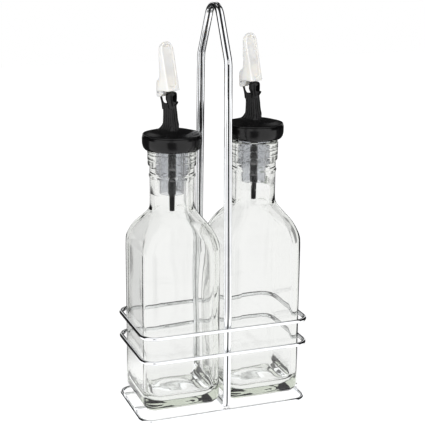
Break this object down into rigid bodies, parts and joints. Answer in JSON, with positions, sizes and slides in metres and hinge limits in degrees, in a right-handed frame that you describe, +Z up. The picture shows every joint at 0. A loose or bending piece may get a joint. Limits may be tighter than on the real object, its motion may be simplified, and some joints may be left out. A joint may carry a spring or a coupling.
{
  "type": "cruet set",
  "caption": "Wire stand with a tall loop handle that carries square glass oil and vinegar bottles, each closed by a collar, a fluted spout and a hinged lever flap.",
  "frame": {"origin": "on the table, under the middle of the stand", "axes": "+X along the stand from the left bottle to the right one, +Y from the front of the stand to its back, +Z up the handle"},
  "size_m": [0.132, 0.0736, 0.2985],
  "materials": {
    "chrome_wire": "bright chrome-plated round wire",
    "clear_glass": "clear soda-lime glass with a faint green edge",
    "collar_plastic": "near-black satin moulded plastic",
    "spout_plastic": "near-black satin moulded plastic",
    "stopper_plastic": "translucent frosted soft plastic",
    "tube_plastic": "black plastic tube",
    "pin_steel": "drawn steel pin",
    "flap_plastic": "milky translucent moulded plastic"
  },
  "bodies": {
    "stand": {"base_loop": "chrome_wire", "lower_rail": "chrome_wire", "upper_rail": "chrome_wire", "handle_wire_left": "chrome_wire", "handle_wire_right": "chrome_wire", "floor_bar_left_front": "chrome_wire", "floor_bar_left_back": "chrome_wire", "floor_bar_right_front": "chrome_wire", "floor_bar_right_back": "chrome_wire"},
    "bottle_left": {"bottle_left": "clear_glass"},
    "pourer_left": {"collar_ring_left": "collar_plastic", "spout_cap_left": "spout_plastic", "stopper_left": "stopper_plastic", "pour_tube_left": "tube_plastic", "hinge_pin_left": "pin_steel"},
    "lever_left": {"flap_left": "flap_plastic"},
    "bottle_right": {"bottle_right": "clear_glass"},
    "pourer_right": {"collar_ring_right": "collar_plastic", "spout_cap_right": "spout_plastic", "stopper_right": "stopper_plastic", "pour_tube_right": "tube_plastic", "hinge_pin_right": "pin_steel"},
    "lever_right": {"flap_right": "flap_plastic"}
  },
  "joints": [
    {"name": "bottle_left_lift", "type": "slide", "parent": "stand", "child": "bottle_left", "axis": [0, 0, 1], "range_m": [0, 0.07]},
    {"name": "pourer_left_pull", "type": "slide", "parent": "bottle_left", "child": "pourer_left", "axis": [0, 0, 1], "range_m": [0, 0.055]},
    {"name": "lever_left_hinge", "type": "hinge", "parent": "pourer_left", "child": "lever_left", "pos_m": [-0.03696, 0.01011, 0.2355], "axis": [-0.887, -0.4617, 0], "range_deg": [0, 80]},
    {"name": "bottle_right_lift", "type": "slide", "parent": "stand", "child": "bottle_right", "axis": [0, 0, 1], "range_m": [0, 0.07]},
    {"name": "pourer_right_pull", "type": "slide", "parent": "bottle_right", "child": "pourer_right", "axis": [0, 0, 1], "range_m": [-0.0045, 0.055]},
    {"name": "lever_right_hinge", "type": "hinge", "parent": "pourer_right", "child": "lever_right", "pos_m": [0.02644, 0.01011, 0.24], "axis": [-0.887, -0.4617, 0], "range_deg": [0, 80]}
  ]
}
